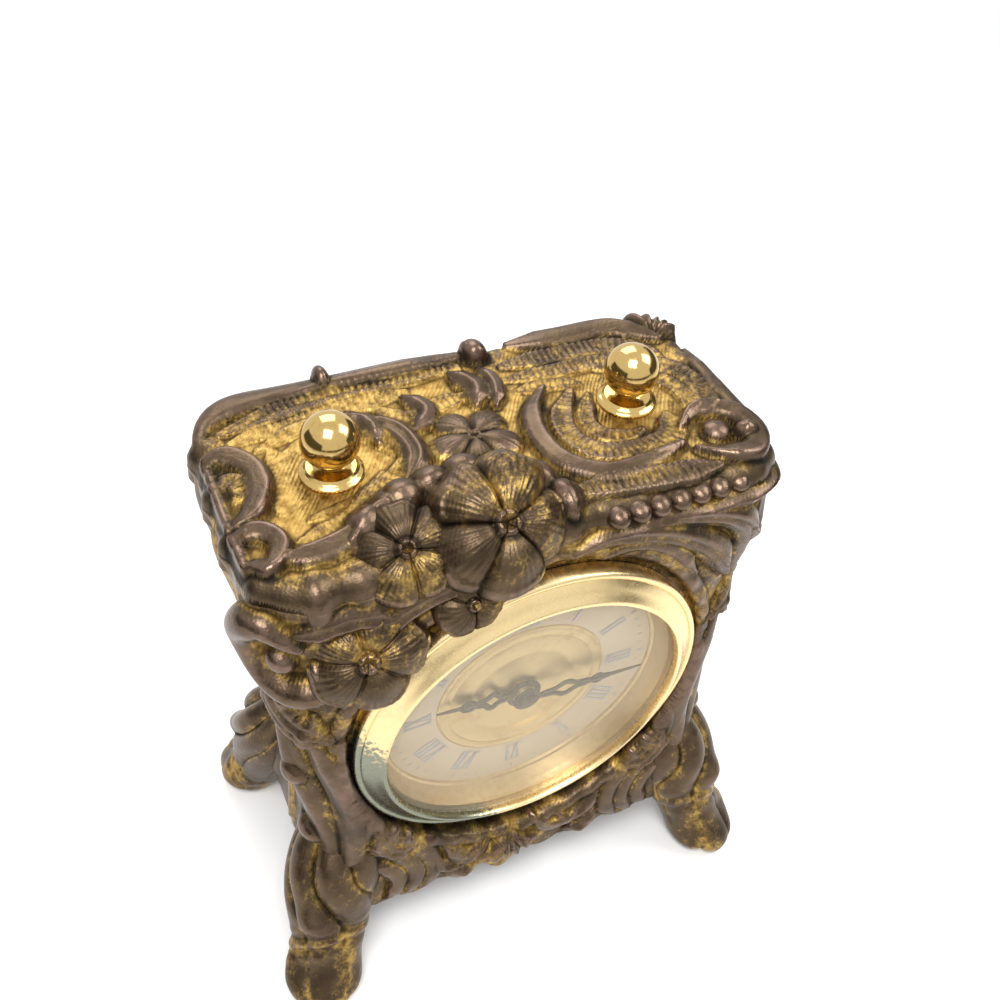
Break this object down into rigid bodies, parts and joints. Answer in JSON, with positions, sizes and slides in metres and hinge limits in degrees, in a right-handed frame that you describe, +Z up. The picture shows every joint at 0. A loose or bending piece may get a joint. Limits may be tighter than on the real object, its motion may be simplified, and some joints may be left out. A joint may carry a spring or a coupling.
{
  "type": "mantel clock",
  "caption": "Small rococo mantel clock: cast gilt case on scroll legs, round glazed dial, ball finials and a key-wound balance movement.",
  "frame": {"origin": "Middle of the overall box in plan, at the soles of the feet", "axes": "+X to the right seen from the front, -Y out of the dial, +Z up"},
  "size_m": [0.088, 0.0622, 0.1007],
  "materials": {
    "cast_gilt": "cast and gilt, dark with wear",
    "polished_brass": "polished and lacquered",
    "plate_brass": "brushed",
    "train_steel": "polished",
    "dial_cream": "satin paint",
    "dial_gilt": "gilt",
    "clear_glass": "clear",
    "hand_dark": "blackened"
  },
  "bodies": {
    "case": {"case_casting": "cast_gilt", "back_cover": "polished_brass", "back_cover_screws": "polished_brass", "finial_left": "polished_brass", "finial_right": "polished_brass", "finial_nuts": "train_steel", "bezel_ring": "polished_brass", "glass_dome": "clear_glass", "dial_ring": "dial_gilt", "dial_plate": "dial_cream", "dial_centre": "dial_gilt", "retaining_ring": "plate_brass", "front_plate": "plate_brass", "movement_screws": "train_steel", "pillars": "plate_brass", "rear_plate": "plate_brass", "pillar_nuts": "train_steel"},
    "barrel_body": {"barrel": "plate_brass", "barrel_cover": "plate_brass", "mainspring": "train_steel"},
    "winding_body": {"barrel_arbor": "train_steel", "ratchet_wheel": "train_steel", "winding_key": "polished_brass"},
    "click_body": {"click": "train_steel"},
    "centre_body": {"centre_wheel": "plate_brass"},
    "third_body": {"third_wheel": "plate_brass"},
    "fourth_body": {"fourth_wheel": "plate_brass"},
    "escape_body": {"escape_wheel": "plate_brass"},
    "pallet_body": {"pallet_lever": "train_steel"},
    "balance_body": {"balance_wheel": "plate_brass", "hairspring": "train_steel"},
    "regulator_body": {"regulator_lever": "train_steel"},
    "minute_body": {"cannon_pinion": "train_steel", "minute_hand": "hand_dark", "centre_arbor": "train_steel", "hand_nut": "polished_brass", "set_knob": "polished_brass"},
    "minute_wheel_body": {"minute_wheel": "plate_brass"},
    "hour_body": {"hour_wheel": "plate_brass", "hour_hand": "hand_dark"}
  },
  "joints": [
    {"name": "minute_turn", "type": "hinge", "parent": "case", "child": "minute_body", "pos_m": [0, 0, 0.052], "axis": [0, 1, 0], "continuous": true},
    {"name": "minute_wheel_turn", "type": "hinge", "parent": "case", "child": "minute_wheel_body", "pos_m": [0.00902, 0, 0.04872], "axis": [0, 1, 0], "continuous": true},
    {"name": "hour_turn", "type": "hinge", "parent": "case", "child": "hour_body", "pos_m": [0, 0, 0.052], "axis": [0, 1, 0], "continuous": true},
    {"name": "third_turn", "type": "hinge", "parent": "case", "child": "third_body", "pos_m": [0.00935, 0, 0.0574], "axis": [0, 1, 0], "continuous": true},
    {"name": "centre_turn", "type": "hinge", "parent": "case", "child": "centre_body", "pos_m": [0, 0, 0.052], "axis": [0, 1, 0], "continuous": true},
    {"name": "barrel_turn", "type": "hinge", "parent": "case", "child": "barrel_body", "pos_m": [0, 0, 0.0394], "axis": [0, 1, 0], "continuous": true},
    {"name": "fourth_turn", "type": "hinge", "parent": "case", "child": "fourth_body", "pos_m": [0.00639, 0, 0.06555], "axis": [0, 1, 0], "continuous": true},
    {"name": "escape_turn", "type": "hinge", "parent": "case", "child": "escape_body", "pos_m": [-0.00087, 0, 0.06555], "axis": [0, 1, 0], "continuous": true},
    {"name": "winding_turn", "type": "hinge", "parent": "case", "child": "winding_body", "pos_m": [0, 0, 0.0394], "axis": [0, 1, 0], "continuous": true},
    {"name": "click_lift", "type": "hinge", "parent": "case", "child": "click_body", "pos_m": [0.00771, 0, 0.0422], "axis": [0, 1, 0], "range_deg": [0, 12]},
    {"name": "pallet_swing", "type": "hinge", "parent": "case", "child": "pallet_body", "pos_m": [-0.00777, 0, 0.06433], "axis": [0, 1, 0], "range_deg": [-4, 4]},
    {"name": "balance_swing", "type": "hinge", "parent": "case", "child": "balance_body", "pos_m": [-0.01449, 0, 0.06148], "axis": [0, 1, 0], "range_deg": [-200, 200], "deforming": ["hairspring"]},
    {"name": "regulator_swing", "type": "hinge", "parent": "case", "child": "regulator_body", "pos_m": [-0.01449, 0, 0.06148], "axis": [0, 1, 0], "range_deg": [-20, 20]}
  ],
  "couplings": [
    {"joint": "minute_wheel_turn", "follows": "minute_turn", "ratio": -0.33333},
    {"joint": "hour_turn", "follows": "minute_turn", "ratio": 0.083333},
    {"joint": "centre_turn", "follows": "third_turn", "ratio": -0.125},
    {"joint": "barrel_turn", "follows": "third_turn", "ratio": 0.020833},
    {"joint": "fourth_turn", "follows": "third_turn", "ratio": -7.5},
    {"joint": "escape_turn", "follows": "third_turn", "ratio": 75}
  ]
}
